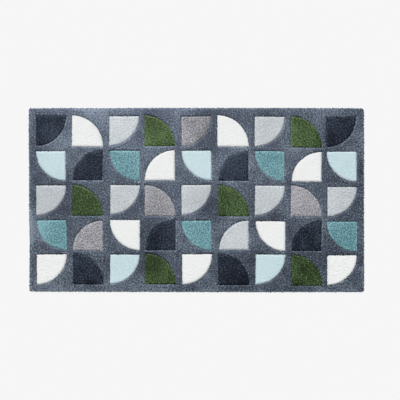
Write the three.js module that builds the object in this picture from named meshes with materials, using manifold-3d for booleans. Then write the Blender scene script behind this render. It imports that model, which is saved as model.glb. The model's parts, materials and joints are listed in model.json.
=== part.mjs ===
// A washable doormat: one flat sheet of dense cut pile, patterned with 45 quarter discs in nine
// columns and five rows. A fine groove is carved round each disc, where the yarn changes colour.
//
// Frame: +X along the mat's length, +Y across its width, +Z up. The origin is the middle of the
// underside, which is flat and rests on the floor. Sizes are in millimetres.

import * as THREE from "three";
import { mergeVertices } from "three/addons/utils/BufferGeometryUtils.js";
import Module from "manifold-3d";

// The mat
const MAT_LENGTH = 906;
const MAT_WIDTH = 497;
const MAT_THICKNESS = 10;
const SHOULDER = 3.2; // how far the pile rounds over at the rim
const SHOULDER_STEPS = 3;

// How far each cut edge lies inside the mat's length and width, at even spaces along it,
// and the size of the round corner that it ends in. The edges run counter-clockwise.
const EDGES = [
  { name: "near", insets: [2, 1.1, 0.9, 0.7, 0.3, 0.2, 0, 0.2, 0.1], corner: 5 },
  { name: "right", insets: [0.1, 0, 0.3, 0.5, 0.1, 0.1, 0.3, 0.6], corner: 8 },
  { name: "far", insets: [1.1, 0.7, 0.5, 0.4, 0.2, 0.3, 0, 0.6, 1.5, 0.5, 1.5], corner: 5 },
  { name: "left", insets: [0.6, 0, 1.2, 1.3, 1.4, 2.9, 2.6, 2.2], corner: 5 },
];

// The pattern: where the middles of its nine columns and five rows lie, and the discs' size
const COLUMN_CENTRES = [-392.5, -294, -194, -98, 0.5, 101, 199, 298, 393.5];
const ROW_CENTRES = [184.5, 91, -2.5, -97.5, -189];
const DISC_RADIUS = 79.5;
const NEAR_LEFT_EXTRA = 3.6; // how much larger a disc is whose square corner points near and left

// The carved groove, measured from the line where two yarns meet
const GROOVE_DEPTH = 4.4;
const GROOVE_FLOOR = 0.4; // half the width of its narrow floor
const GROOVE_WALL = 3.4; // how far each wall leans back before the pile has its full height
const ISLAND_ROOT = 0.6; // how far a disc's solid keeps its width below the groove's floor

// How much the tufted pattern differs from straight columns and rows
const ROW_DROP = 3.4; // how much nearer the last column lies than the first
const ROW_BOW = 2; // how far the middle of a row arches towards the far edge
const COLUMN_SLANT = 2.2; // how much further right the nearest row lies than the farthest
const DRIFT = 0.8;
const RADIUS_SPREAD = 0.8;
const TURN_SPREAD = THREE.MathUtils.degToRad(0.6);

const PILE_COLOUR = 0x5e6774;

const wasm = await Module();
wasm.setup();

/** The closed solid of a three.js geometry. */
function solid(geometry) {
  const bare = geometry.clone();
  bare.deleteAttribute("normal");
  bare.deleteAttribute("uv");
  const merged = mergeVertices(bare, 1e-4);
  return new wasm.Manifold(
    new wasm.Mesh({
      numProp: 3,
      vertProperties: merged.attributes.position.array,
      triVerts: new Uint32Array(merged.index.array),
    }),
  );
}

/** The three.js geometry of a solid. */
function geometryOf(body) {
  const { numProp, vertProperties, triVerts, numVert } = body.getMesh();
  const places = new Float32Array(3 * numVert);
  for (let i = 0; i < numVert; i++) {
    places.set(vertProperties.subarray(i * numProp, i * numProp + 3), 3 * i);
  }
  const geometry = new THREE.BufferGeometry();
  geometry.setAttribute("position", new THREE.BufferAttribute(places, 3));
  geometry.setIndex(new THREE.BufferAttribute(triVerts, 1));
  geometry.computeVertexNormals();
  return geometry;
}

/**
 * A shape extruded from the height `low` to `high`. Both ends draw in by `inset` over the height
 * `taper`, in `steps` rows of faces. `offset` moves the full outline out from the shape, or in if negative.
 */
function tapered(shape, { low, high, taper, inset, offset = 0, steps = 1, curveSegments = 6 }) {
  const geometry = new THREE.ExtrudeGeometry(shape, {
    depth: high - low - 2 * taper,
    curveSegments,
    bevelThickness: taper,
    bevelSize: inset,
    bevelOffset: offset - inset,
    bevelSegments: steps,
  });
  return geometry.translate(0, 0, low + taper);
}

/** The mat's outline: four cut edges that wander a little, joined by small round corners. */
function matOutline() {
  const half = new THREE.Vector2(MAT_LENGTH / 2, MAT_WIDTH / 2);
  const corners = [
    new THREE.Vector2(-half.x, -half.y),
    new THREE.Vector2(half.x, -half.y),
    new THREE.Vector2(half.x, half.y),
    new THREE.Vector2(-half.x, half.y),
  ];
  const sides = EDGES.map(({ insets }, i) => {
    const start = corners[i];
    const end = corners[(i + 1) % corners.length];
    const along = end.clone().sub(start).normalize();
    const inward = new THREE.Vector2(-along.y, along.x);
    const before = EDGES[(i + EDGES.length - 1) % EDGES.length].corner;
    const straight = start.distanceTo(end) - before - EDGES[i].corner;
    return insets.map((inset, k) =>
      start
        .clone()
        .addScaledVector(along, before + (straight * k) / (insets.length - 1))
        .addScaledVector(inward, inset),
    );
  });

  const outline = new THREE.Shape();
  outline.moveTo(sides[0][0].x, sides[0][0].y);
  sides.forEach((side, i) => {
    const next = sides[(i + 1) % sides.length][0];
    const last = side.at(-1);
    const level = i % 2 === 0; // the near and far edges run along X
    outline.splineThru(side.slice(1));
    outline.quadraticCurveTo(level ? next.x : last.x, level ? last.y : next.y, next.x, next.y);
  });
  return outline;
}

/**
 * The quarter disc of a column and a row, both counted from 0, and rows from the far edge.
 * Its square corner points left in even rows and right in odd ones, and far in even columns
 * and near in odd ones.
 */
function discOutline(column, row) {
  const toward = new THREE.Vector2(row % 2 === 0 ? -1 : 1, column % 2 === 0 ? 1 : -1);
  const extra = toward.x < 0 && toward.y < 0 ? NEAR_LEFT_EXTRA : 0;
  const radius = DISC_RADIUS + extra + RADIUS_SPREAD * Math.sin(5.3 * column + 2.9 * row + 1.1);
  const turn = TURN_SPREAD * Math.sin(1.3 * column + 6.1 * row + 3);
  const across = column / (COLUMN_CENTRES.length - 1) - 0.5;
  const down = row / (ROW_CENTRES.length - 1) - 0.5;
  const middle = new THREE.Vector2(COLUMN_CENTRES[column], ROW_CENTRES[row]);
  middle.x += down * COLUMN_SLANT;
  middle.y += ROW_BOW * Math.cos(Math.PI * across) - across * ROW_DROP;
  middle.x += DRIFT * Math.sin(2.1 * column + 4.7 * row + 0.4);
  middle.y += DRIFT * Math.sin(3.7 * column + 1.9 * row + 2.2);
  const corner = toward
    .clone()
    .multiplyScalar(radius / 2)
    .rotateAround(new THREE.Vector2(), turn)
    .add(middle);
  const start = Math.atan2(-toward.y, -toward.x) - Math.PI / 4 + turn;
  const outline = new THREE.Shape();
  outline.moveTo(corner.x, corner.y);
  outline.lineTo(corner.x + radius * Math.cos(start), corner.y + radius * Math.sin(start));
  outline.absarc(corner.x, corner.y, radius, start, start + Math.PI / 2);
  return outline;
}

/** The plain sheet of pile: square at the floor and rounded over along the top of its rim. */
function sheet() {
  const body = solid(
    tapered(matOutline(), {
      low: -2 * SHOULDER,
      high: MAT_THICKNESS,
      taper: SHOULDER,
      inset: SHOULDER,
      steps: SHOULDER_STEPS,
      curveSegments: 2,
    }),
  );
  const below = new THREE.BoxGeometry(2 * MAT_LENGTH, 2 * MAT_WIDTH, MAT_THICKNESS);
  return body.subtract(solid(below.translate(0, 0, -MAT_THICKNESS / 2)));
}

/** The sheet with its grooves: for each disc a flared pocket is cut out, and a tapered island fills it. */
function mat() {
  const floor = MAT_THICKNESS - GROOVE_DEPTH;
  let body = sheet();
  for (let row = 0; row < ROW_CENTRES.length; row++) {
    for (let column = 0; column < COLUMN_CENTRES.length; column++) {
      const outline = discOutline(column, row);
      const pocket = tapered(outline, {
        low: floor,
        high: MAT_THICKNESS + 2 * GROOVE_DEPTH,
        taper: GROOVE_DEPTH,
        inset: GROOVE_WALL,
        offset: GROOVE_FLOOR + GROOVE_WALL,
      });
      const island = tapered(outline, {
        low: floor - ISLAND_ROOT - GROOVE_DEPTH,
        high: MAT_THICKNESS,
        taper: GROOVE_DEPTH,
        inset: GROOVE_WALL,
        offset: -GROOVE_FLOOR,
        steps: 2,
      });
      body = body.subtract(solid(pocket)).add(solid(island));
    }
  }
  const pile = new THREE.MeshStandardMaterial({ color: PILE_COLOUR, roughness: 0.95, metalness: 0 });
  const mesh = new THREE.Mesh(geometryOf(body), pile);
  mesh.name = "mat";
  return mesh;
}

const doormat = new THREE.Group();
doormat.add(mat());

export default doormat;
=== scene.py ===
"""The looks of a washable doormat, in metres, +Z up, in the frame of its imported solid.

The mat is one sheet of dense cut pile on a thin non-slip backing. Its pattern is tufted in
eight yarns, and a groove is carved round each quarter disc. Every tuft is a small closed
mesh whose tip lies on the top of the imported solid, so the carving keeps its real depth.
"""

import json
import logging
import math
from collections.abc import Callable
from dataclasses import dataclass
from enum import Enum
from typing import Any

import bmesh
import bpy
import numpy as np
from mathutils import Matrix, Vector
from mathutils.bvhtree import BVHTree

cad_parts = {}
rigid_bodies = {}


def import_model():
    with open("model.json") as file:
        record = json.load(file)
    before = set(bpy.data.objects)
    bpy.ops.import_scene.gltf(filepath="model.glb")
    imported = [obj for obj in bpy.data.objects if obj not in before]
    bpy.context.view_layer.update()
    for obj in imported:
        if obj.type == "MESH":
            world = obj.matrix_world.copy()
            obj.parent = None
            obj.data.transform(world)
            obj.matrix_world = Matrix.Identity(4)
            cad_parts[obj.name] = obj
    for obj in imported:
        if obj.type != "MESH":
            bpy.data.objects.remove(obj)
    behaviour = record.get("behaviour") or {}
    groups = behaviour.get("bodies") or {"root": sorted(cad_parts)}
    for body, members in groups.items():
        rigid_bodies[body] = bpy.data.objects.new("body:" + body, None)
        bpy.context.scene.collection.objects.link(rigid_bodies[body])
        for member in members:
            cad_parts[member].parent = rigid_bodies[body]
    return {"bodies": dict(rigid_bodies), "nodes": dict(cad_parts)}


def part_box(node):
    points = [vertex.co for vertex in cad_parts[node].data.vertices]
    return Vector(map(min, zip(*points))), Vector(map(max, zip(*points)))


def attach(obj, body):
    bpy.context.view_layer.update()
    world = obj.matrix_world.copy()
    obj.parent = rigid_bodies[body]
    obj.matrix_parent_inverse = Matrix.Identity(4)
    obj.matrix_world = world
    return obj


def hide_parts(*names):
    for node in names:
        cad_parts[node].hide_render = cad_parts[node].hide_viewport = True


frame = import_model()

MM = 0.001
CAD_NODE = "mat"
SEED = 132
NOISE_LOW, NOISE_HIGH = 0.3, 0.7  # nearly all of a noise texture lies between these
TINY = 1e-9  # keeps a division from meeting 0

log = logging.getLogger("doormat")
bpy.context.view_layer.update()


class Yarn(Enum):
    """The yarns of the pile, by the names that the chart uses."""

    GROUND = "ground"
    NAVY = "navy"
    WHITE = "white"
    SILVER = "silver"
    GREEN = "green"
    TAUPE = "taupe"
    ICE = "ice"
    TEAL = "teal"


# The yarn of each quarter disc, row by row from the far edge
CHART = (
    "navy white silver green taupe white silver green navy",
    "ice navy teal white ice navy teal white ice",
    "silver green silver taupe silver green silver taupe silver",
    "teal taupe white navy teal silver white navy teal",
    "white navy ice green white navy ice green white",
)


def linear(colour: str) -> tuple[float, float, float, float]:
    """Turn an sRGB hex colour into linear values.

    Args:
        colour: The colour as six hex digits after a #.

    Returns:
        The linear red, green and blue, and an alpha of 1.
    """
    channels = [int(colour[i:i + 2], 16) / 255 for i in (1, 3, 5)]
    red, green, blue = (
        c / 12.92 if c <= 0.04045 else ((c + 0.055) / 1.055) ** 2.4 for c in channels
    )
    return (red, green, blue, 1.0)


def add_node(
    tree: bpy.types.NodeTree,
    kind: str,
    inputs: dict[Any, Any] | None = None,
    **settings: Any,
) -> bpy.types.Node:
    """Add a node to a tree, with its settings and what feeds it.

    Args:
        tree: The node tree.
        kind: The node's type, without its leading "ShaderNode".
        inputs: A value or an output socket for each input, by its name, or by its number
            where several inputs share a name.
        settings: The node's own properties.

    Returns:
        The new node.
    """
    node = tree.nodes.new("ShaderNode" + kind)
    for name, value in settings.items():
        setattr(node, name, value)
    for key, value in (inputs or {}).items():
        if isinstance(value, bpy.types.NodeSocket):
            tree.links.new(value, node.inputs[key])
        else:
            node.inputs[key].default_value = value
    return node


def new_material(name: str) -> tuple[bpy.types.Material, bpy.types.NodeTree]:
    """Make an empty node material.

    Args:
        name: The material's name.

    Returns:
        The material and its node tree.
    """
    material = bpy.data.materials.new(name)
    material.use_nodes = True
    material.node_tree.nodes.clear()
    return material, material.node_tree


def new_object(name: str, data: bpy.types.ID) -> bpy.types.Object:
    """Put a mesh, light or camera in the scene as an object.

    Args:
        name: The object's name.
        data: What it shows. A mesh is in the mat's own frame.

    Returns:
        The object.
    """
    thing = bpy.data.objects.new(name, data)
    bpy.context.scene.collection.objects.link(thing)
    return thing


@dataclass(frozen=True)
class DyedYarn:
    """Space-dyed microfibre polyester, heat-set and cut: matt, with a soft haze of sheen.

    Each tuft takes one strand of the melange, so the pile is speckled at the tufts' own size.
    Its colour is painted darker towards its root, a painted shade where its neighbours shade it, and its
    fibres show as fine streaks.
    A real fibre, 0.02 mm thick, is too fine to show, so the streaks are as wide as a ply.

    Attributes:
        yarn: The yarn.
        melange: Its dyed strands from dark to light, as places from 0 to 1 and their colours.
        root_shade: The share of its colour that the root of a tuft keeps under the painted shade between
            tufts, lifting towards the tip.
        sheen: The weight of the haze of fibre ends.
        sheen_roughness: How widely the haze spreads.
        specular: How strongly the cut tips glint.
        lustre: The colour of that glint.
        roughness: The roughness of the tips.
        fibre_mm: The width of a streak.
        fibre_detail: How many finer layers a streak has.
        fibre_contrast: How much lighter or darker it is.
        fibre_relief: The strength of its bump.
        fibre_depth_mm: The depth of its bump.
        crown: How far the tufts beside a groove lean away from it, in millimetres.
        patchy: How strongly like strands gather in clouds.
        parting: How long a piece of each tuft stands free of its neighbours, in millimetres.
        painted_groove_tone: Painted light beside a groove: how much lighter the strands there are, in
            spreads of the melange; below 0 it is painted shade.
        IOR: The index of refraction of polyester.
    """

    yarn: Yarn
    melange: tuple[tuple[float, str], ...]
    root_shade: float = 0.55
    sheen: float = 0.04
    sheen_roughness: float = 0.5
    specular: float = 0.15
    lustre: str = "#ffffff"
    roughness: float = 0.85
    fibre_mm: float = 0.35
    fibre_detail: float = 2.0
    fibre_contrast: float = 0.12
    fibre_relief: float = 0.35
    fibre_depth_mm: float = 0.3
    crown: float = 1.6
    patchy: float = 1.0
    parting: float = 1.9
    painted_groove_tone: float = 0.0
    IOR: float = 1.55

    @property
    def slot(self) -> str:
        """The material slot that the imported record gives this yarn."""
        return self.yarn.value + "_yarn"

    @property
    def name(self) -> str:
        """The name of this yarn's material."""
        return self.yarn.value + "_cut_pile"

    def material(self) -> bpy.types.Material:
        """Make the yarn's material.

        Returns:
            The material, which reads each tuft's "strand" and "rise".
        """
        material, tree = new_material(self.name)
        strand = add_node(tree, "Attribute", attribute_name="strand")
        palette = add_node(tree, "ValToRGB", {"Fac": strand.outputs["Fac"]})
        stops = palette.color_ramp.elements
        for i, (position, colour) in enumerate(self.melange):
            stop = stops[i] if i < len(stops) else stops.new(position)
            stop.position = position
            stop.color = linear(colour)

        place = add_node(tree, "TexCoord")
        fibres = add_node(
            tree,
            "TexNoise",
            {
                "Vector": place.outputs["Object"],
                "Scale": 1 / (self.fibre_mm * MM),
                "Detail": self.fibre_detail,
            },
        )
        streak = add_node(
            tree,
            "MapRange",
            {
                "Value": fibres.outputs["Fac"],
                "From Min": NOISE_LOW,
                "From Max": NOISE_HIGH,
                "To Min": 1 - self.fibre_contrast,
                "To Max": 1 + self.fibre_contrast,
            },
        )
        # Painted shade: the colour darkens towards each tuft's root, by its rise, where its neighbours
        # shade it
        rise = add_node(tree, "Attribute", attribute_name="rise")
        depth = add_node(
            tree,
            "MapRange",
            {"Value": rise.outputs["Fac"], "To Min": self.root_shade, "To Max": 1.0},
        )
        light = add_node(
            tree, "Math", {0: streak.outputs[0], 1: depth.outputs[0]}, operation="MULTIPLY"
        )
        shade = add_node(
            tree,
            "VectorMath",
            {0: palette.outputs["Color"], "Scale": light.outputs[0]},
            operation="SCALE",
        )
        bump = add_node(
            tree,
            "Bump",
            {
                "Height": fibres.outputs["Fac"],
                "Strength": self.fibre_relief,
                "Distance": self.fibre_depth_mm * MM,
            },
        )
        shader = add_node(
            tree,
            "BsdfPrincipled",
            {
                "Base Color": shade.outputs[0],
                "Roughness": self.roughness,
                "IOR": self.IOR,
                "Specular IOR Level": self.specular,
                "Specular Tint": linear(self.lustre),
                "Sheen Weight": self.sheen,
                "Sheen Roughness": self.sheen_roughness,
                "Normal": bump.outputs["Normal"],
            },
        )
        add_node(tree, "OutputMaterial", {"Surface": shader.outputs[0]})
        return material


YARNS = {
    finish.yarn: finish
    for finish in (
        # Near-black, slate, violet and green strands: a lively speckle that reads as slate
        # blue from afar, with a cold glint on its tips
        DyedYarn(
            Yarn.GROUND,
            (
                (0.0, "#06080c"),
                (0.25, "#313a41"),
                (0.4, "#445265"),
                (0.55, "#565366"),
                (0.7, "#4f6468"),
                (1.0, "#949dab"),
            ),
            specular=0.45,
            lustre="#d2e0ff",
            patchy=1.35,
        ),
        # Dyed almost black, so it swallows light; beside its grooves its strands are darker still, a
        # painted shade
        DyedYarn(
            Yarn.NAVY,
            ((0.0, "#020307"), (0.5, "#1c222f"), (1.0, "#525d70")),
            specular=0.13,
            lustre="#c6dbff",
            patchy=1.4,
            painted_groove_tone=-0.5,
        ),
        # Left undyed: light passes between its tufts, so it looks even, almost without grain
        DyedYarn(
            Yarn.WHITE,
            ((0.0, "#e4e6e5"), (1.0, "#e6e8e7")),
            root_shade=0.95,
            specular=0.05,
            crown=0.0,
            parting=1.1,
        ),
        # A pale grey whose tips catch the far light: soft, with a fine grain
        DyedYarn(
            Yarn.SILVER,
            ((0.0, "#b0b7bc"), (0.5, "#c7ccd0"), (1.0, "#dce1e4")),
            root_shade=0.8,
            specular=0.35,
            crown=0.3,
        ),
        # Grey-green tips with deep painted shade at their roots: mossy, with deep gaps between the tufts
        DyedYarn(
            Yarn.GREEN,
            ((0.0, "#020400"), (0.5, "#213713"), (1.0, "#6f8a5e")),
            root_shade=0.45,
            specular=0.32,
            lustre="#d8ffba",
            patchy=1.4,
        ),
        # Dark and light grey strands in equal parts: a strong, plain grain that looks warm
        # beside the blue ground
        DyedYarn(
            Yarn.TAUPE,
            ((0.0, "#706f74"), (0.5, "#a1a1a7"), (1.0, "#d0d0d6")),
            root_shade=0.7,
        ),
        # A single pale dye: even and cool, with a faint grain
        DyedYarn(
            Yarn.ICE,
            ((0.0, "#c6dade"), (0.5, "#cee0e5"), (1.0, "#d5e6ea")),
            root_shade=0.85,
            crown=0.3,
        ),
        # Dusty teal with washed-out strands: grainy, with painted light along its carved edge
        DyedYarn(
            Yarn.TEAL,
            ((0.0, "#3d7279"), (0.5, "#71a1ab"), (1.0, "#a3cfd8")),
            root_shade=0.7,
            crown=0.8,
            painted_groove_tone=0.8,
        ),
    )
}


@dataclass(frozen=True)
class LatexBacking:
    """Black foamed latex, pressed on a pebbled roller: matt rubber with a fine even grain.

    Real pebbles, under 1 mm, are too fine to show, so they are drawn at more than twice that.

    Attributes:
        colour: The latex's colour, a black that has gone a little grey.
        pebble_mm: The size of a pebble.
        pebble_relief: The strength of the pebbles' bump.
        pebble_depth_mm: Their depth.
        dust_scale: The patches of dust in a metre.
        dust_detail: How many finer layers they have.
        dust_range: How dark and how light they make the latex.
        roughness: Its roughness.
        IOR: The index of refraction of rubber.
    """

    colour: str = "#3a3c40"
    pebble_mm: float = 2.2
    pebble_relief: float = 0.6
    pebble_depth_mm: float = 0.4
    dust_scale: float = 60.0
    dust_detail: float = 4.0
    dust_range: tuple[float, float] = (0.85, 1.2)
    roughness: float = 0.8
    IOR: float = 1.52

    def material(self) -> bpy.types.Material:
        """Make the backing's material.

        Returns:
            The material.
        """
        material, tree = new_material("backing_latex")
        place = add_node(tree, "TexCoord")
        pebbles = add_node(
            tree,
            "TexVoronoi",
            {"Vector": place.outputs["Object"], "Scale": 1 / (self.pebble_mm * MM)},
            feature="SMOOTH_F1",
        )
        dust = add_node(
            tree,
            "TexNoise",
            {
                "Vector": place.outputs["Object"],
                "Scale": self.dust_scale,
                "Detail": self.dust_detail,
            },
        )
        dark, light = self.dust_range
        shade = add_node(
            tree,
            "MapRange",
            {
                "Value": dust.outputs["Fac"],
                "From Min": NOISE_LOW,
                "From Max": NOISE_HIGH,
                "To Min": dark,
                "To Max": light,
            },
        )
        colour = add_node(
            tree,
            "VectorMath",
            {0: linear(self.colour)[:3], "Scale": shade.outputs[0]},
            operation="SCALE",
        )
        bump = add_node(
            tree,
            "Bump",
            {
                "Height": pebbles.outputs["Distance"],
                "Strength": self.pebble_relief,
                "Distance": self.pebble_depth_mm * MM,
            },
            invert=True,
        )
        shader = add_node(
            tree,
            "BsdfPrincipled",
            {
                "Base Color": colour.outputs[0],
                "Roughness": self.roughness,
                "IOR": self.IOR,
                "Normal": bump.outputs["Normal"],
            },
        )
        add_node(tree, "OutputMaterial", {"Surface": shader.outputs[0]})
        return material


@dataclass(frozen=True)
class Wave:
    """A small unevenness that runs over the quarter discs as a sine wave.

    Attributes:
        per_column: How far the wave moves on from one column to the next, in radians.
        per_row: How far it moves on from one row to the next.
        start: Where it starts, at the first disc.
    """

    per_column: float
    per_row: float
    start: float

    def at(self, column: np.ndarray, row: np.ndarray) -> np.ndarray:
        """Give the wave at each disc, from -1 to 1."""
        return np.sin(self.per_column * column + self.per_row * row + self.start)


@dataclass(frozen=True)
class Pattern:
    """The quarter discs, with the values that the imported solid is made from, in millimetres.

    Attributes:
        column_centres: The X of the middle of each column.
        row_centres: The Y of the middle of each row, from the far edge.
        radius: A disc's radius.
        near_left_extra: How much larger a disc is whose square corner points near and left.
        row_drop: How much nearer the last column lies than the first.
        row_bow: How far the middle of a row arches towards the far edge.
        column_slant: How much further right the nearest row lies than the farthest.
        drift: How far a disc lies off its place each way.
        drift_x: The wave of its drift along X.
        drift_y: The wave of its drift along Y.
        radius_spread: How much larger or smaller a disc is.
        radius_wave: The wave of its radius.
        turn_spread: How far a disc is turned, in radians.
        turn_wave: The wave of its turn.
    """

    column_centres: tuple[float, ...] = (-392.5, -294, -194, -98, 0.5, 101, 199, 298, 393.5)
    row_centres: tuple[float, ...] = (184.5, 91, -2.5, -97.5, -189)
    radius: float = 79.5
    near_left_extra: float = 3.6
    row_drop: float = 3.4
    row_bow: float = 2.0
    column_slant: float = 2.2
    drift: float = 0.8
    drift_x: Wave = Wave(2.1, 4.7, 0.4)
    drift_y: Wave = Wave(3.7, 1.9, 2.2)
    radius_spread: float = 0.8
    radius_wave: Wave = Wave(5.3, 2.9, 1.1)
    turn_spread: float = math.radians(0.6)
    turn_wave: Wave = Wave(1.3, 6.1, 3.0)

    @property
    def yarns(self) -> list[list[Yarn]]:
        """The chart as yarns."""
        return [[Yarn(name) for name in row.split()] for row in CHART]

    def disc(self, column: np.ndarray, row: np.ndarray) -> tuple[np.ndarray, np.ndarray, np.ndarray]:
        """Find where quarter discs lie.

        Args:
            column: The discs' columns, counted from 0.
            row: The discs' rows, counted from 0 at the far edge.

        Returns:
            Each disc's square corner, its radius, and the angle of the middle of its arc.
        """
        side = np.where(row % 2 == 0, -1.0, 1.0)
        end = np.where(column % 2 == 0, 1.0, -1.0)
        radius = self.radius + self.radius_spread * self.radius_wave.at(column, row)
        radius += np.where((side < 0) & (end < 0), self.near_left_extra, 0.0)
        turn = self.turn_spread * self.turn_wave.at(column, row)
        across = column / (len(self.column_centres) - 1) - 0.5
        down = row / (len(self.row_centres) - 1) - 0.5
        middle_x = np.array(self.column_centres)[column] + down * self.column_slant
        middle_y = np.array(self.row_centres)[row] - across * self.row_drop
        middle_y += self.row_bow * np.cos(math.pi * across)
        middle_x += self.drift * self.drift_x.at(column, row)
        middle_y += self.drift * self.drift_y.at(column, row)
        half_x, half_y = side * radius / 2, end * radius / 2
        corner = np.stack(
            [
                middle_x + half_x * np.cos(turn) - half_y * np.sin(turn),
                middle_y + half_x * np.sin(turn) + half_y * np.cos(turn),
            ],
            axis=-1,
        )
        return corner, radius, np.arctan2(-end, -side) + turn

    def measure(self, place: np.ndarray) -> tuple[np.ndarray, np.ndarray, np.ndarray]:
        """Measure points against the nearest quarter disc.

        Args:
            place: The points' X and Y.

        Returns:
            Each point's distance out of the disc, which is negative inside it, and the disc's
            column and row.
        """
        columns = np.array(self.column_centres)
        rows = np.array(self.row_centres)
        column = np.searchsorted((columns[1:] + columns[:-1]) / 2, place[:, 0])
        row = np.searchsorted(-(rows[1:] + rows[:-1]) / 2, -place[:, 1])
        corner, radius, heading = self.disc(column, row)
        away = place - corner
        start = heading - math.pi / 4
        u = away[:, 0] * np.cos(start) + away[:, 1] * np.sin(start)
        v = -away[:, 0] * np.sin(start) + away[:, 1] * np.cos(start)
        reach = np.hypot(u, v)
        within = np.minimum(np.minimum(u, v), radius - reach)
        leg_u = np.hypot(u - np.clip(u, 0, radius), v)
        leg_v = np.hypot(u, v - np.clip(v, 0, radius))
        outside = np.where((u > 0) & (v > 0), reach - radius, np.minimum(leg_u, leg_v))
        return np.where(within > 0, -within, outside), column, row

    def from_line(self, place: np.ndarray) -> tuple[np.ndarray, np.ndarray]:
        """Tell how points lie to the nearest line between two yarns.

        Args:
            place: The points' X and Y.

        Returns:
            Each point's distance to the line, and the direction straight away from it.
        """
        distance = self.measure(place)[0]
        side = np.where(distance < 0, -1.0, 1.0)
        return np.abs(distance), uphill(lambda p: self.measure(p)[0], place) * side[:, None]

    def yarn_at(self, place: np.ndarray) -> np.ndarray:
        """Tell which yarn is tufted at each point.

        Args:
            place: The points' X and Y.

        Returns:
            Each point's yarn, as its place in the Yarn list.
        """
        order = {yarn: i for i, yarn in enumerate(Yarn)}
        chart = np.array([[order[yarn] for yarn in row] for row in self.yarns])
        distance, column, row = self.measure(place)
        return np.where(distance < 0, chart[row, column], order[Yarn.GROUND])


class Solid:
    """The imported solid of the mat: its faces, its outline, and the height of its top.

    Lengths are in millimetres.
    """

    WELD = 0.001  # points closer than this are one
    ON_FLOOR = 0.01  # points lower than this lie on the floor

    def __init__(self, node: str) -> None:
        """Read the solid from the frame.

        Args:
            node: The solid's node.
        """
        body = bmesh.new()
        body.from_mesh(frame["nodes"][node].data)
        bmesh.ops.remove_doubles(body, verts=body.verts, dist=self.WELD * MM)
        body.verts.ensure_lookup_table()
        self.points = np.array([v.co for v in body.verts]) / MM
        self.faces = [[v.index for v in face.verts] for face in body.faces]
        body.free()
        self.tree = BVHTree.FromPolygons([Vector(p) for p in self.points], self.faces)
        low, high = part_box(node)
        self.length, self.width, self.thickness = ((high - low) / MM)[:]

    def height(self, place: np.ndarray) -> np.ndarray:
        """Find the height of the solid's top.

        Args:
            place: The points' X and Y.

        Returns:
            The height at each point, or 0 outside the mat.
        """
        down = Vector((0, 0, -1))
        above = 2 * self.thickness
        hits = (self.tree.ray_cast(Vector((x, y, above)), down)[0] for x, y in place)
        return np.array([0.0 if hit is None else hit.z for hit in hits])

    def outline(self) -> np.ndarray:
        """Find the outline of the underside.

        Returns:
            Its points, counter-clockwise.
        """
        foot = self.points[self.points[:, 2] < self.ON_FLOOR][:, :2]
        return foot[np.argsort(np.arctan2(foot[:, 1], foot[:, 0]))]


def inset(outline: np.ndarray, distance: float) -> np.ndarray:
    """Move a closed outline inwards.

    Args:
        outline: Its points, counter-clockwise.
        distance: How far each side moves.

    Returns:
        The new points, as many as before.
    """
    before = outline - np.roll(outline, 1, axis=0)
    after = np.roll(outline, -1, axis=0) - outline
    before /= np.linalg.norm(before, axis=1, keepdims=True)
    after /= np.linalg.norm(after, axis=1, keepdims=True)
    inward_before = np.stack([-before[:, 1], before[:, 0]], axis=-1)
    inward_after = np.stack([-after[:, 1], after[:, 0]], axis=-1)
    middle = inward_before + inward_after
    middle /= np.sum(middle * inward_before, axis=1, keepdims=True)
    return outline + middle * distance


def depth_inside(outline: np.ndarray, place: np.ndarray) -> np.ndarray:
    """Measure how far points lie inside a closed outline.

    Args:
        outline: Its points, counter-clockwise.
        place: The points' X and Y.

    Returns:
        Each point's distance to the outline, which is negative outside it.
    """
    nearest = np.full(len(place), np.inf)
    inside = np.zeros(len(place), dtype=bool)
    for a, b in zip(outline, np.roll(outline, -1, axis=0)):
        along = b - a
        share = np.clip(((place - a) @ along) / (along @ along), 0, 1)
        nearest = np.minimum(nearest, np.linalg.norm(place - a - share[:, None] * along, axis=1))
        crosses = (a[1] > place[:, 1]) != (b[1] > place[:, 1])
        reach = a[0] + (place[:, 1] - a[1]) / (along[1] if along[1] else TINY) * along[0]
        inside ^= crosses & (place[:, 0] < reach)
    return np.where(inside, nearest, -nearest)


def uphill(
    measure: Callable[[np.ndarray], np.ndarray], place: np.ndarray, step: float = 0.05
) -> np.ndarray:
    """Find the direction in which a distance grows.

    Args:
        measure: Gives the distance at points.
        place: The points' X and Y.
        step: How far off each point it is measured again.

    Returns:
        The direction at each point, with a length of 1.
    """
    here = measure(place)
    along_x = measure(place + np.array([step, 0.0])) - here
    along_y = measure(place + np.array([0.0, step])) - here
    slope = np.stack([along_x, along_y], axis=-1)
    return slope / np.maximum(np.linalg.norm(slope, axis=1, keepdims=True), TINY)


def soft_noise(place: np.ndarray, pitch: float, random: np.random.Generator) -> np.ndarray:
    """Give points a random value that changes smoothly from place to place.

    Args:
        place: The points' X and Y.
        pitch: The distance over which the value changes.
        random: The source of random numbers.

    Returns:
        A value for each point, with a mean of 0 and a spread of about 1.
    """
    grid_spread = 1.5  # more than 1, because blending between grid points evens the values out
    cell = (place - place.min(axis=0)) / pitch
    corner = np.floor(cell).astype(int)
    u, v = np.moveaxis((cell - corner) ** 2 * (3 - 2 * (cell - corner)), -1, 0)
    i, j = np.moveaxis(corner, -1, 0)
    values = random.normal(0, grid_spread, corner.max(axis=0) + 2)
    near = values[i, j] * (1 - u) + values[i + 1, j] * u
    far = values[i, j + 1] * (1 - u) + values[i + 1, j + 1] * u
    return near * (1 - v) + far * v


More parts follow.
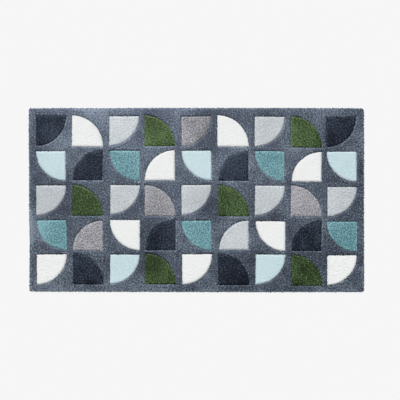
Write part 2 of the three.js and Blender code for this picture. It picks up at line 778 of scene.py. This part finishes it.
def local_mean(place: np.ndarray, value: np.ndarray, pitch: float) -> np.ndarray:
    """Average a value over each point's surroundings.

    Args:
        place: The points' X and Y.
        value: The value at each point.
        pitch: How far the surroundings reach.

    Returns:
        The average round each point.
    """
    cell = (place - place.min(axis=0)) / pitch
    corner = np.floor(cell).astype(int)
    u, v = (cell - corner).T
    i, j = corner.T
    total = np.zeros(corner.max(axis=0) + 2)
    weight = np.zeros_like(total)
    nodes = (
        (i, j, (1 - u) * (1 - v)),
        (i + 1, j, u * (1 - v)),
        (i, j + 1, (1 - u) * v),
        (i + 1, j + 1, u * v),
    )
    for column, row, share in nodes:
        np.add.at(total, (column, row), share * value)
        np.add.at(weight, (column, row), share)
    mean = total / np.maximum(weight, TINY)
    return sum(share * mean[column, row] for column, row, share in nodes)


@dataclass(frozen=True)
class TuftForm:
    """The mesh of one tuft: rings of points round its axis, a tip, and a closed root.

    Attributes:
        sides: The points in a ring.
        rings: Each ring's share of the tuft's height and of its radius, from the root up.
        side_low: Where the rolled-out side starts in the unit square of a tuft's map.
        side_high: Where it ends, at the tip.
        root_centre: The middle of the root in that square.
        root_size: Half the width and half the height of the root there.
    """

    sides: int
    rings: tuple[tuple[float, float], ...]
    side_low: float = 0.2
    side_high: float = 0.95
    root_centre: tuple[float, float] = (0.5, 0.08)
    root_size: tuple[float, float] = (0.4, 0.06)

    def triangles(self) -> tuple[np.ndarray, np.ndarray]:
        """List one tuft's triangles.

        Returns:
            The corners of each triangle as point numbers, and as places in a unit square, where
            the tuft's side is rolled out above its root.
        """
        n = self.sides
        tip = n * len(self.rings)
        corners: list[tuple[int, int, int]] = []
        places: list[tuple[tuple[float, float], ...]] = []
        span = self.side_high - self.side_low
        levels = [self.side_low + span * height for height, _ in self.rings] + [self.side_high]
        for k in range(len(self.rings)):
            for s in range(n):
                here, beside = k * n + s, k * n + (s + 1) % n
                left, right, middle = s / n, (s + 1) / n, (s + 0.5) / n
                low, high = levels[k], levels[k + 1]
                if k == len(self.rings) - 1:
                    corners.append((here, beside, tip))
                    places.append(((left, low), (right, low), (middle, high)))
                else:
                    corners.append((here, beside, beside + n))
                    places.append(((left, low), (right, low), (right, high)))
                    corners.append((here, beside + n, here + n))
                    places.append(((left, low), (right, high), (left, high)))
        (x, y), (wide, tall) = self.root_centre, self.root_size
        angles = [math.tau * s / n for s in range(n)]
        rim = [(x + wide * math.cos(angle), y + tall * math.sin(angle)) for angle in angles]
        for s in range(1, n - 1):
            corners.append((0, s + 1, s))
            places.append((rim[0], rim[s + 1], rim[s]))
        return np.array(corners), np.array(places)

    def points(
        self,
        root: np.ndarray,
        tip: np.ndarray,
        radius: np.ndarray,
        turn: np.ndarray,
        bow: np.ndarray,
    ) -> np.ndarray:
        """Place the points of many tufts.

        Args:
            root: Where each tuft's axis starts.
            tip: Where it ends.
            radius: Each tuft's radius.
            turn: The angle of its first point.
            bow: How far the middle of its axis stands out of the straight line.

        Returns:
            The points, as an array of tufts, points and coordinates.
        """
        parts = []
        for k, (height, width) in enumerate(self.rings):
            angle = turn[:, None] + math.tau * (np.arange(self.sides) + k / 2) / self.sides
            ring = np.stack([np.cos(angle), np.sin(angle), np.zeros_like(angle)], axis=-1)
            axis = root + (tip - root) * height + bow * 4 * height * (1 - height)
            parts.append(axis[:, None, :] + ring * (radius * width)[:, None, None])
        parts.append(tip[:, None, :])
        return np.concatenate(parts, axis=1)

    def rise(self) -> np.ndarray:
        """Give the height of each point of a tuft, as a share of the tuft's."""
        return np.array([height for height, _ in self.rings for _ in range(self.sides)] + [1.0])


@dataclass
class Tufts:
    """Many tufts of one form. Lengths are in millimetres.

    Attributes:
        form: The form of each.
        root: Where each tuft's axis starts.
        tip: Where it ends.
        radius: Each tuft's radius.
        turn: The angle of its first point.
        bow: How far the middle of its axis stands out of the straight line.
        strand: Its strand of the melange, from 0, the darkest, to 1.
        exposure: How far it stands clear of its neighbours' shade, from 0 to 1, which lifts its painted
            root shade.
        map_margin: The edge that its cell of the map keeps free, as a share of the cell.
    """

    form: TuftForm
    root: np.ndarray
    tip: np.ndarray
    radius: np.ndarray
    turn: np.ndarray
    bow: np.ndarray
    strand: np.ndarray
    exposure: np.ndarray
    map_margin: float = 0.08

    def some(self, chosen: np.ndarray) -> "Tufts":
        """Pick some of the tufts.

        Args:
            chosen: True for each tuft to keep.

        Returns:
            Those tufts.
        """
        values = (self.root, self.tip, self.radius, self.turn, self.bow, self.strand, self.exposure)
        return Tufts(self.form, *(value[chosen] for value in values))

    def mesh(self, name: str) -> bpy.types.Mesh:
        """Build the tufts as one mesh.

        Args:
            name: The mesh's name.

        Returns:
            The mesh, with each point's "strand" and "rise", and a cell of the map for each tuft.
        """
        count = len(self.radius)
        points = self.form.points(self.root, self.tip, self.radius, self.turn, self.bow)
        corners, places = self.form.triangles()
        each = points.shape[1]
        numbers = corners[None, :, :] + each * np.arange(count)[:, None, None]

        across = math.ceil(math.sqrt(count))
        cell = np.stack([np.arange(count) % across, np.arange(count) // across], axis=-1)
        within = self.map_margin + (1 - 2 * self.map_margin) * places
        map_places = (cell[:, None, None, :] + within[None]) / across

        mesh = bpy.data.meshes.new(name)
        mesh.vertices.add(count * each)
        mesh.vertices.foreach_set("co", (points * MM).astype(np.float32).ravel())
        mesh.loops.add(numbers.size)
        mesh.loops.foreach_set("vertex_index", numbers.astype(np.int32).ravel())
        mesh.polygons.add(numbers.size // 3)
        mesh.polygons.foreach_set("loop_start", np.arange(0, numbers.size, 3, dtype=np.int32))
        mesh.polygons.foreach_set("use_smooth", np.zeros(numbers.size // 3, dtype=bool))
        layer = mesh.uv_layers.new(name="OFBake")
        layer.data.foreach_set("uv", map_places.astype(np.float32).ravel())
        for label, values in (
            ("strand", np.repeat(self.strand, each)),
            # The rise sets the painted root shade; exposure lifts it near grooves and the rim
            ("rise", np.maximum(self.form.rise(), self.exposure[:, None]).ravel()),
        ):
            attribute = mesh.attributes.new(label, "FLOAT", "POINT")
            attribute.data.foreach_set("value", values.astype(np.float32))
        mesh.update()
        mesh.validate()
        return mesh


@dataclass
class CutPile:
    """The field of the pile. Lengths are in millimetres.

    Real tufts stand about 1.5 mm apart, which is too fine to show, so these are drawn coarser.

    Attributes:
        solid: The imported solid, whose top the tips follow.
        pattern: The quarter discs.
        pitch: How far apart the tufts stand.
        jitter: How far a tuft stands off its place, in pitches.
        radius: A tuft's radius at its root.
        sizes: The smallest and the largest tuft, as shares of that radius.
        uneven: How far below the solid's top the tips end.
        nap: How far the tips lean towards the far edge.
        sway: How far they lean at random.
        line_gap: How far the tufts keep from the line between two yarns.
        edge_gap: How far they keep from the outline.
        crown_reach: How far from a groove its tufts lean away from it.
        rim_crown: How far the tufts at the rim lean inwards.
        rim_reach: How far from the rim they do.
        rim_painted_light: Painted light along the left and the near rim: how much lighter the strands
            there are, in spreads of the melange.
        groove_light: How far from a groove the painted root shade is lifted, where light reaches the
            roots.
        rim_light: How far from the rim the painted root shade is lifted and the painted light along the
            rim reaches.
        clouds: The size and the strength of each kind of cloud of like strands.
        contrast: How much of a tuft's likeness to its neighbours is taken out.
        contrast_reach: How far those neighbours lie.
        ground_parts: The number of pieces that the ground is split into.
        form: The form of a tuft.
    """

    solid: Solid
    pattern: Pattern
    pitch: float = 2.4
    jitter: float = 0.24
    radius: float = 2.15
    sizes: tuple[float, float] = (0.88, 1.12)
    uneven: float = 0.28
    nap: float = 0.55
    sway: float = 0.3
    line_gap: float = 1.0
    edge_gap: float = 2.4
    crown_reach: float = 4.0
    rim_crown: float = 1.8
    rim_reach: float = 7.0
    rim_painted_light: tuple[float, float] = (0.85, 0.25)
    groove_light: float = 3.0
    rim_light: float = 9.0
    clouds: tuple[tuple[float, float], ...] = ((20.0, 0.15), (80.0, 0.28))
    contrast: float = 0.9
    contrast_reach: float = 5.0
    ground_parts: int = 3
    form: TuftForm = TuftForm(5, ((0.0, 1.0),))

    def places(self, random: np.random.Generator) -> np.ndarray:
        """Choose where tufts stand: on a close hexagonal grid, each a little off its place.

        Args:
            random: The source of random numbers.

        Returns:
            The tufts' X and Y.
        """
        row_pitch = self.pitch * math.sqrt(3) / 2
        columns = math.ceil(self.solid.length / self.pitch / 2) + 1
        rows = math.ceil(self.solid.width / row_pitch / 2) + 1
        i, j = np.meshgrid(np.arange(-columns, columns + 1), np.arange(-rows, rows + 1))
        grid = np.stack([(i + 0.5 * (j % 2)) * self.pitch, j * row_pitch], axis=-1).reshape(-1, 2)
        grid += random.normal(0, self.jitter * self.pitch, grid.shape)
        grid = grid[depth_inside(self.solid.outline(), grid) > self.edge_gap]
        distance, away = self.pattern.from_line(grid)
        return grid + away * np.maximum(self.line_gap - distance, 0.0)[:, None]

    def strands(
        self, place: np.ndarray, patchy: np.ndarray, painted_tone: np.ndarray, random: np.random.Generator
    ) -> np.ndarray:
        """Choose each tuft's strand of the melange, so that like strands tend to lie in clouds.

        Args:
            place: The tufts' X and Y.
            patchy: How strong the clouds are at each.
            painted_tone: How much lighter than the rest each is painted, as painted light; below 0, as
                painted shade.
            random: The source of random numbers.

        Returns:
            Evenly spread values from 0 to 1.
        """
        level = random.normal(0, 1, len(place))
        level -= self.contrast * local_mean(place, level, self.contrast_reach)
        for size, share in self.clouds:
            level += patchy * share * soft_noise(place, size, random)
        return (level + painted_tone).argsort().argsort() / len(place)

    def tufts(self, random: np.random.Generator) -> tuple[Tufts, np.ndarray]:
        """Make the tufts.

        Args:
            random: The source of random numbers.

        Returns:
            The tufts, and the yarn of each.
        """
        place = self.places(random)
        count = len(place)
        yarn = self.pattern.yarn_at(place)
        distance, away = self.pattern.from_line(place)
        lean = random.normal(0, self.sway, (count, 2)) + np.array([0.0, self.nap])
        traits = [
            (finish.crown, finish.parting, finish.patchy, finish.painted_groove_tone)
            for finish in (YARNS[kind] for kind in Yarn)
        ]
        crown, parting, patchy, painted_groove_tone = np.array(traits)[yarn].T
        lean += away * (crown * np.exp(-distance / self.crown_reach))[:, None]
        outline = self.solid.outline()
        depth = depth_inside(outline, place) - self.edge_gap
        inward = uphill(lambda p: depth_inside(outline, p), place)
        lean += inward * (self.rim_crown * np.exp(-depth / self.rim_reach))[:, None]
        in_groove = np.exp(-distance / self.groove_light)
        at_rim = np.exp(-depth / self.rim_light)
        # Painted light beside teal grooves and along the left and the near rim, and painted shade beside
        # navy grooves, as a shift of the strands
        painted_tone = painted_groove_tone * in_groove + np.maximum(inward @ np.array(self.rim_painted_light), 0) * at_rim
        top = self.solid.height(place) - np.abs(random.normal(0, self.uneven, count))
        radius = self.radius * random.uniform(*self.sizes, count)
        tufts = Tufts(
            self.form,
            root=np.column_stack([place, top - parting]),
            tip=np.column_stack([place + lean, top]),
            radius=radius,
            turn=random.uniform(0, math.tau, count),
            bow=np.zeros((count, 3)),
            strand=self.strands(place, patchy, painted_tone, random),
            exposure=np.maximum(in_groove, at_rim),
        )
        return tufts, yarn

    def build(self) -> list[bpy.types.Object]:
        """Build the field, one piece for each yarn, and the ground in several.

        Returns:
            The pieces.
        """
        tufts, yarn = self.tufts(np.random.default_rng(SEED))
        pieces = []
        for i, kind in enumerate(Yarn):
            parts = self.ground_parts if kind is Yarn.GROUND else 1
            part = np.floor((tufts.root[:, 0] / self.solid.length + 0.5) * parts).clip(0, parts - 1)
            for p in range(parts):
                name = f"pile_{kind.value}" + (f"_{p + 1}" if parts > 1 else "")
                piece = new_object(name, tufts.some((yarn == i) & (part == p)).mesh(name))
                dress(piece, kind)
                pieces.append(piece)
        return pieces


@dataclass
class RimPile:
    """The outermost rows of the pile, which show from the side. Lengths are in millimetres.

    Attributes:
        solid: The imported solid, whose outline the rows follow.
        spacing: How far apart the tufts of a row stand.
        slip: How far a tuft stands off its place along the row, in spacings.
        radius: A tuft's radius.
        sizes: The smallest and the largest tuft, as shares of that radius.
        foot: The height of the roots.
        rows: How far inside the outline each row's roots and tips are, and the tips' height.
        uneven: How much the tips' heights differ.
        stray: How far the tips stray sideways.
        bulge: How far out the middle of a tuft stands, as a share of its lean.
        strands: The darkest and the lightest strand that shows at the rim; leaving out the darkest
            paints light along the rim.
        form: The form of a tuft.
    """

    solid: Solid
    spacing: float = 2.0
    slip: float = 0.3
    radius: float = 1.45
    sizes: tuple[float, float] = (0.85, 1.15)
    foot: float = 1.3
    rows: tuple[tuple[float, float, float], ...] = ((1.9, 0.0, 7.8), (3.0, 1.5, 9.4))
    uneven: float = 0.35
    stray: float = 0.4
    bulge: float = 0.35
    strands: tuple[float, float] = (0.3, 1.0)
    form: TuftForm = TuftForm(5, ((0.0, 0.8), (0.35, 1.0), (0.78, 0.95)))

    def row(self, random: np.random.Generator, root_inset: float, tip_inset: float, top: float) -> Tufts:
        """Make one row of tufts along the rim.

        Args:
            random: The source of random numbers.
            root_inset: How far inside the outline the row is rooted.
            tip_inset: How far inside it the tips are.
            top: The height of the tips.

        Returns:
            The tufts.
        """
        outline = self.solid.outline()
        sides = np.linalg.norm(np.roll(outline, -1, axis=0) - outline, axis=1)
        starts = np.concatenate([[0], np.cumsum(sides)])
        count = int(starts[-1] / self.spacing)
        slips = random.uniform(-self.slip, self.slip, count)
        along = (np.arange(count) + slips) * self.spacing % starts[-1]
        loops = (inset(outline, root_inset), inset(outline, tip_inset))
        ends = [np.vstack([loop, loop[:1]]) for loop in loops]
        root, tip = (
            np.column_stack([np.interp(along, starts, end[:, 0]), np.interp(along, starts, end[:, 1])])
            for end in ends
        )
        tip = tip + random.normal(0, self.stray, tip.shape)
        heights = top + random.normal(0, self.uneven, count)
        return Tufts(
            self.form,
            root=np.column_stack([root, np.full(count, self.foot)]),
            tip=np.column_stack([tip, heights]),
            radius=self.radius * random.uniform(*self.sizes, count),
            turn=random.uniform(0, math.tau, count),
            bow=np.column_stack([(tip - root) * self.bulge, np.zeros(count)]),
            # Painted light: the darkest strands are left out along the rim
            strand=random.uniform(*self.strands, count),
            exposure=np.zeros(count),
        )

    def build(self) -> list[bpy.types.Object]:
        """Build the rows, each as one piece.

        Returns:
            The pieces.
        """
        random = np.random.default_rng(SEED + 1)
        pieces = []
        for k, (root_inset, tip_inset, top) in enumerate(self.rows):
            name = f"rim_pile_{k + 1}"
            piece = new_object(name, self.row(random, root_inset, tip_inset, top).mesh(name))
            dress(piece, Yarn.GROUND)
            pieces.append(piece)
        return pieces


@dataclass
class PileBed:
    """The close lower part of the pile, which fills the gaps between tufts. In millimetres.

    Attributes:
        solid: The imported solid, whose faces the bed keeps.
        pattern: The quarter discs.
        drop: How far below the solid's top the bed lies.
        foot: The height of its underside.
        edge_gap: How far inside the outline its rim lies.
        rim: How wide the band is that is drawn in.
        strand: Its strand of the melange, the middle one.
    """

    solid: Solid
    pattern: Pattern
    drop: float = 2.1
    foot: float = 1.0
    edge_gap: float = 1.9
    rim: float = 8.0
    strand: float = 0.5

    def build(self) -> bpy.types.Object:
        """Build the bed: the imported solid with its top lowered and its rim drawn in.

        Returns:
            The piece.
        """
        points = self.solid.points.copy()
        top = points[:, 2] > self.foot
        points[top, 2] -= self.drop
        points[~top, 2] = self.foot
        for axis, size in ((0, self.solid.length), (1, self.solid.width)):
            outer = np.abs(points[:, axis]) > size / 2 - self.rim
            points[outer, axis] -= np.sign(points[outer, axis]) * self.edge_gap
        mesh = bpy.data.meshes.new("pile_bed")
        mesh.from_pydata((points * MM).tolist(), [], self.solid.faces)
        centres = np.array([points[face].mean(axis=0)[:2] for face in self.solid.faces])
        mesh.polygons.foreach_set("material_index", self.pattern.yarn_at(centres).astype(np.int32))
        # A rise of 0 gives the bed its yarn's full painted root shade, the shade in the gaps between
        # tufts
        for label, value in (("strand", self.strand), ("rise", 0.0)):
            attribute = mesh.attributes.new(label, "FLOAT", "POINT")
            attribute.data.foreach_set("value", np.full(len(points), value, dtype=np.float32))
        mesh.update()
        piece = new_object("pile_bed", mesh)
        for kind in Yarn:
            mesh.materials.append(yarn_material(kind))
        return piece


@dataclass
class Backing:
    """The non-slip backing under the pile. Lengths are in millimetres.

    Attributes:
        solid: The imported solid, whose outline the backing follows.
        thickness: How thick it is.
        edge_gap: How far inside the outline its edge lies.
        chamfer: How far its lower edge is taken off.
        finish: What it is made of.
    """

    solid: Solid
    thickness: float = 1.8
    edge_gap: float = 1.2
    chamfer: float = 0.4
    finish: LatexBacking = LatexBacking()

    def build(self) -> bpy.types.Object:
        """Build the backing: a thin sheet with its lower edge a little rounded.

        Returns:
            The piece.
        """
        outline = inset(self.solid.outline(), self.edge_gap)
        levels = (
            (inset(outline, self.chamfer), 0.0),
            (outline, self.chamfer),
            (outline, self.thickness),
        )
        count = len(outline)
        points = [(*point, height) for loop, height in levels for point in loop]
        faces = [list(range(count))[::-1], list(range(2 * count, 3 * count))]
        for k in range(len(levels) - 1):
            for s in range(count):
                here, beside = k * count + s, k * count + (s + 1) % count
                faces.append([here, beside, beside + count, here + count])
        mesh = bpy.data.meshes.new("backing")
        mesh.from_pydata([Vector(point) * MM for point in points], [], faces)
        mesh.update()
        piece = new_object("backing", mesh)
        mesh.materials.append(self.finish.material())
        return piece


def yarn_material(kind: Yarn) -> bpy.types.Material:
    """Fetch a yarn's material, which is made the first time."""
    finish = YARNS[kind]
    return bpy.data.materials.get(finish.name) or finish.material()


def dress(piece: bpy.types.Object, kind: Yarn) -> None:
    """Give a piece of pile its yarn.

    Args:
        piece: The piece.
        kind: Its yarn.
    """
    piece.data.materials.append(yarn_material(kind))


@dataclass
class Studio:
    """A pale floor under an even white dome, and a large soft light beyond the far edge.

    Lengths are in metres.

    Attributes:
        floor_half: Half the floor's length and width.
        floor_drop: How far below the underside the floor lies, so that the two don't flicker.
        floor_colour: The floor's colour where it takes light and shadow.
        backdrop_colour: The floor's own glow, and what the camera sees past the floor.
        floor_shadow: The share of light and shadow in the floor's look.
        dome_colour: The colour of the dome's light.
        dome: The dome's strength.
        key: The key light's strength.
        key_elevation: How high it stands.
        key_heading: Where it stands, as an angle from +X.
        key_softness: How wide it looks from the mat.
        key_distance: How far off it is shown. Its light doesn't depend on that.
        glint: The power of the far light, which shows only as a glint on the pile.
        glint_place: Where it hangs.
        glint_size: The length of its side.
        lens: The camera's focal length in millimetres.
        frame_width: How much of the mat's level the picture takes in.
        camera_aside: How far right of the mat's middle the camera hangs.
        camera_reach: How far the camera sees.
    """

    floor_half: float = 6.0
    floor_drop: float = 0.2 * MM
    floor_colour: str = "#f2f2f2"
    backdrop_colour: str = "#f6f6f6"
    floor_shadow: float = 0.03
    dome_colour: str = "#ffffff"
    dome: float = 0.45
    key: float = 2.9
    key_elevation: float = math.radians(50)
    key_heading: float = math.radians(105)
    key_softness: float = math.radians(25)
    key_distance: float = 2.0
    glint: float = 52.0
    glint_place: tuple[float, float, float] = (-0.22, 0.68, 0.42)
    glint_size: float = 0.5
    lens: float = 85.0
    frame_width: float = 1.0805
    camera_aside: float = 0.0097
    camera_reach: float = 50.0

    def floor(self) -> None:
        """Lay the floor just under the mat: matt paper, so bright that shadows hardly show."""
        half = self.floor_half
        mesh = bpy.data.meshes.new("floor")
        corners = [(-half, -half, 0), (half, -half, 0), (half, half, 0), (-half, half, 0)]
        mesh.from_pydata(corners, [], [(0, 1, 2, 3)])
        piece = new_object("floor", mesh)
        piece.location.z = -self.floor_drop
        material, tree = new_material("floor_paper")
        glow = add_node(
            tree,
            "Emission",
            {"Color": linear(self.backdrop_colour), "Strength": 1 - self.floor_shadow},
        )
        lit = add_node(tree, "BsdfDiffuse", {"Color": linear(self.floor_colour)})
        dimmed = add_node(tree, "MixShader", {0: self.floor_shadow, 2: lit.outputs[0]})
        shader = add_node(tree, "AddShader", {0: glow.outputs[0], 1: dimmed.outputs[0]})
        add_node(tree, "OutputMaterial", {"Surface": shader.outputs[0]})
        mesh.materials.append(material)

    def sky(self) -> None:
        """Set the dome, which lights the mat evenly and looks like the backdrop."""
        world = bpy.data.worlds.new("dome")
        world.use_nodes = True
        tree = world.node_tree
        tree.nodes.clear()
        lit = add_node(
            tree, "Background", {"Color": linear(self.dome_colour), "Strength": self.dome}
        )
        seen = add_node(tree, "Background", {"Color": linear(self.backdrop_colour)})
        ray = add_node(tree, "LightPath")
        either = add_node(
            tree,
            "MixShader",
            {0: ray.outputs["Is Camera Ray"], 1: lit.outputs[0], 2: seen.outputs[0]},
        )
        add_node(tree, "OutputWorld", {"Surface": either.outputs[0]})
        bpy.context.scene.world = world

    def hang(self, light: bpy.types.Light, place: Vector) -> bpy.types.Object:
        """Hang a light, turned to the mat's middle.

        Args:
            light: The light.
            place: Where it hangs.

        Returns:
            Its object.
        """
        lamp = new_object(light.name, light)
        lamp.location = place
        lamp.rotation_euler = place.to_track_quat("Z", "Y").to_euler()
        return lamp

    def lamps(self) -> None:
        """Hang the key light, and the far light that only glints."""
        sun = bpy.data.lights.new("key", "SUN")
        sun.energy = self.key
        sun.angle = self.key_softness
        toward = Vector(
            (
                math.cos(self.key_elevation) * math.cos(self.key_heading),
                math.cos(self.key_elevation) * math.sin(self.key_heading),
                math.sin(self.key_elevation),
            )
        )
        self.hang(sun, toward * self.key_distance)
        panel = bpy.data.lights.new("glint", "AREA")
        panel.energy = self.glint
        panel.size = self.glint_size
        far_light = self.hang(panel, Vector(self.glint_place))
        far_light.visible_camera = False
        far_light.visible_diffuse = False

    def camera(self, height: float) -> None:
        """Hang the camera straight over the mat.

        Args:
            height: The height at which the picture is frame_width wide.
        """
        lens = bpy.data.cameras.new("camera")
        lens.lens = self.lens
        lens.clip_end = self.camera_reach
        above = self.frame_width * self.lens / lens.sensor_width
        camera = new_object("camera", lens)
        camera.matrix_world = Matrix.Translation((self.camera_aside, 0.0, height + above))
        bpy.context.scene.camera = camera

    def build(self, height: float) -> None:
        """Build the studio.

        Args:
            height: The height of the mat's top.
        """
        self.floor()
        self.sky()
        self.lamps()
        self.camera(height)
        bpy.context.scene.view_settings.view_transform = "Standard"


def main() -> None:
    """Build the mat and its studio, and put every piece on the mat's one body."""
    logging.basicConfig(level=logging.INFO, format="%(name)s: %(message)s")
    solid = Solid(CAD_NODE)
    pattern = Pattern()
    Studio().build(solid.thickness * MM)
    bed = PileBed(solid, pattern).build()
    backing = Backing(solid).build()
    pile = CutPile(solid, pattern).build() + RimPile(solid).build()
    body = next(iter(frame["bodies"]))
    for piece in (bed, backing, *pile):
        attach(piece, body)
        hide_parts(CAD_NODE)
        log.info("%s: %d faces", piece.name, len(piece.data.polygons))


if __name__ == "__main__":
    main()
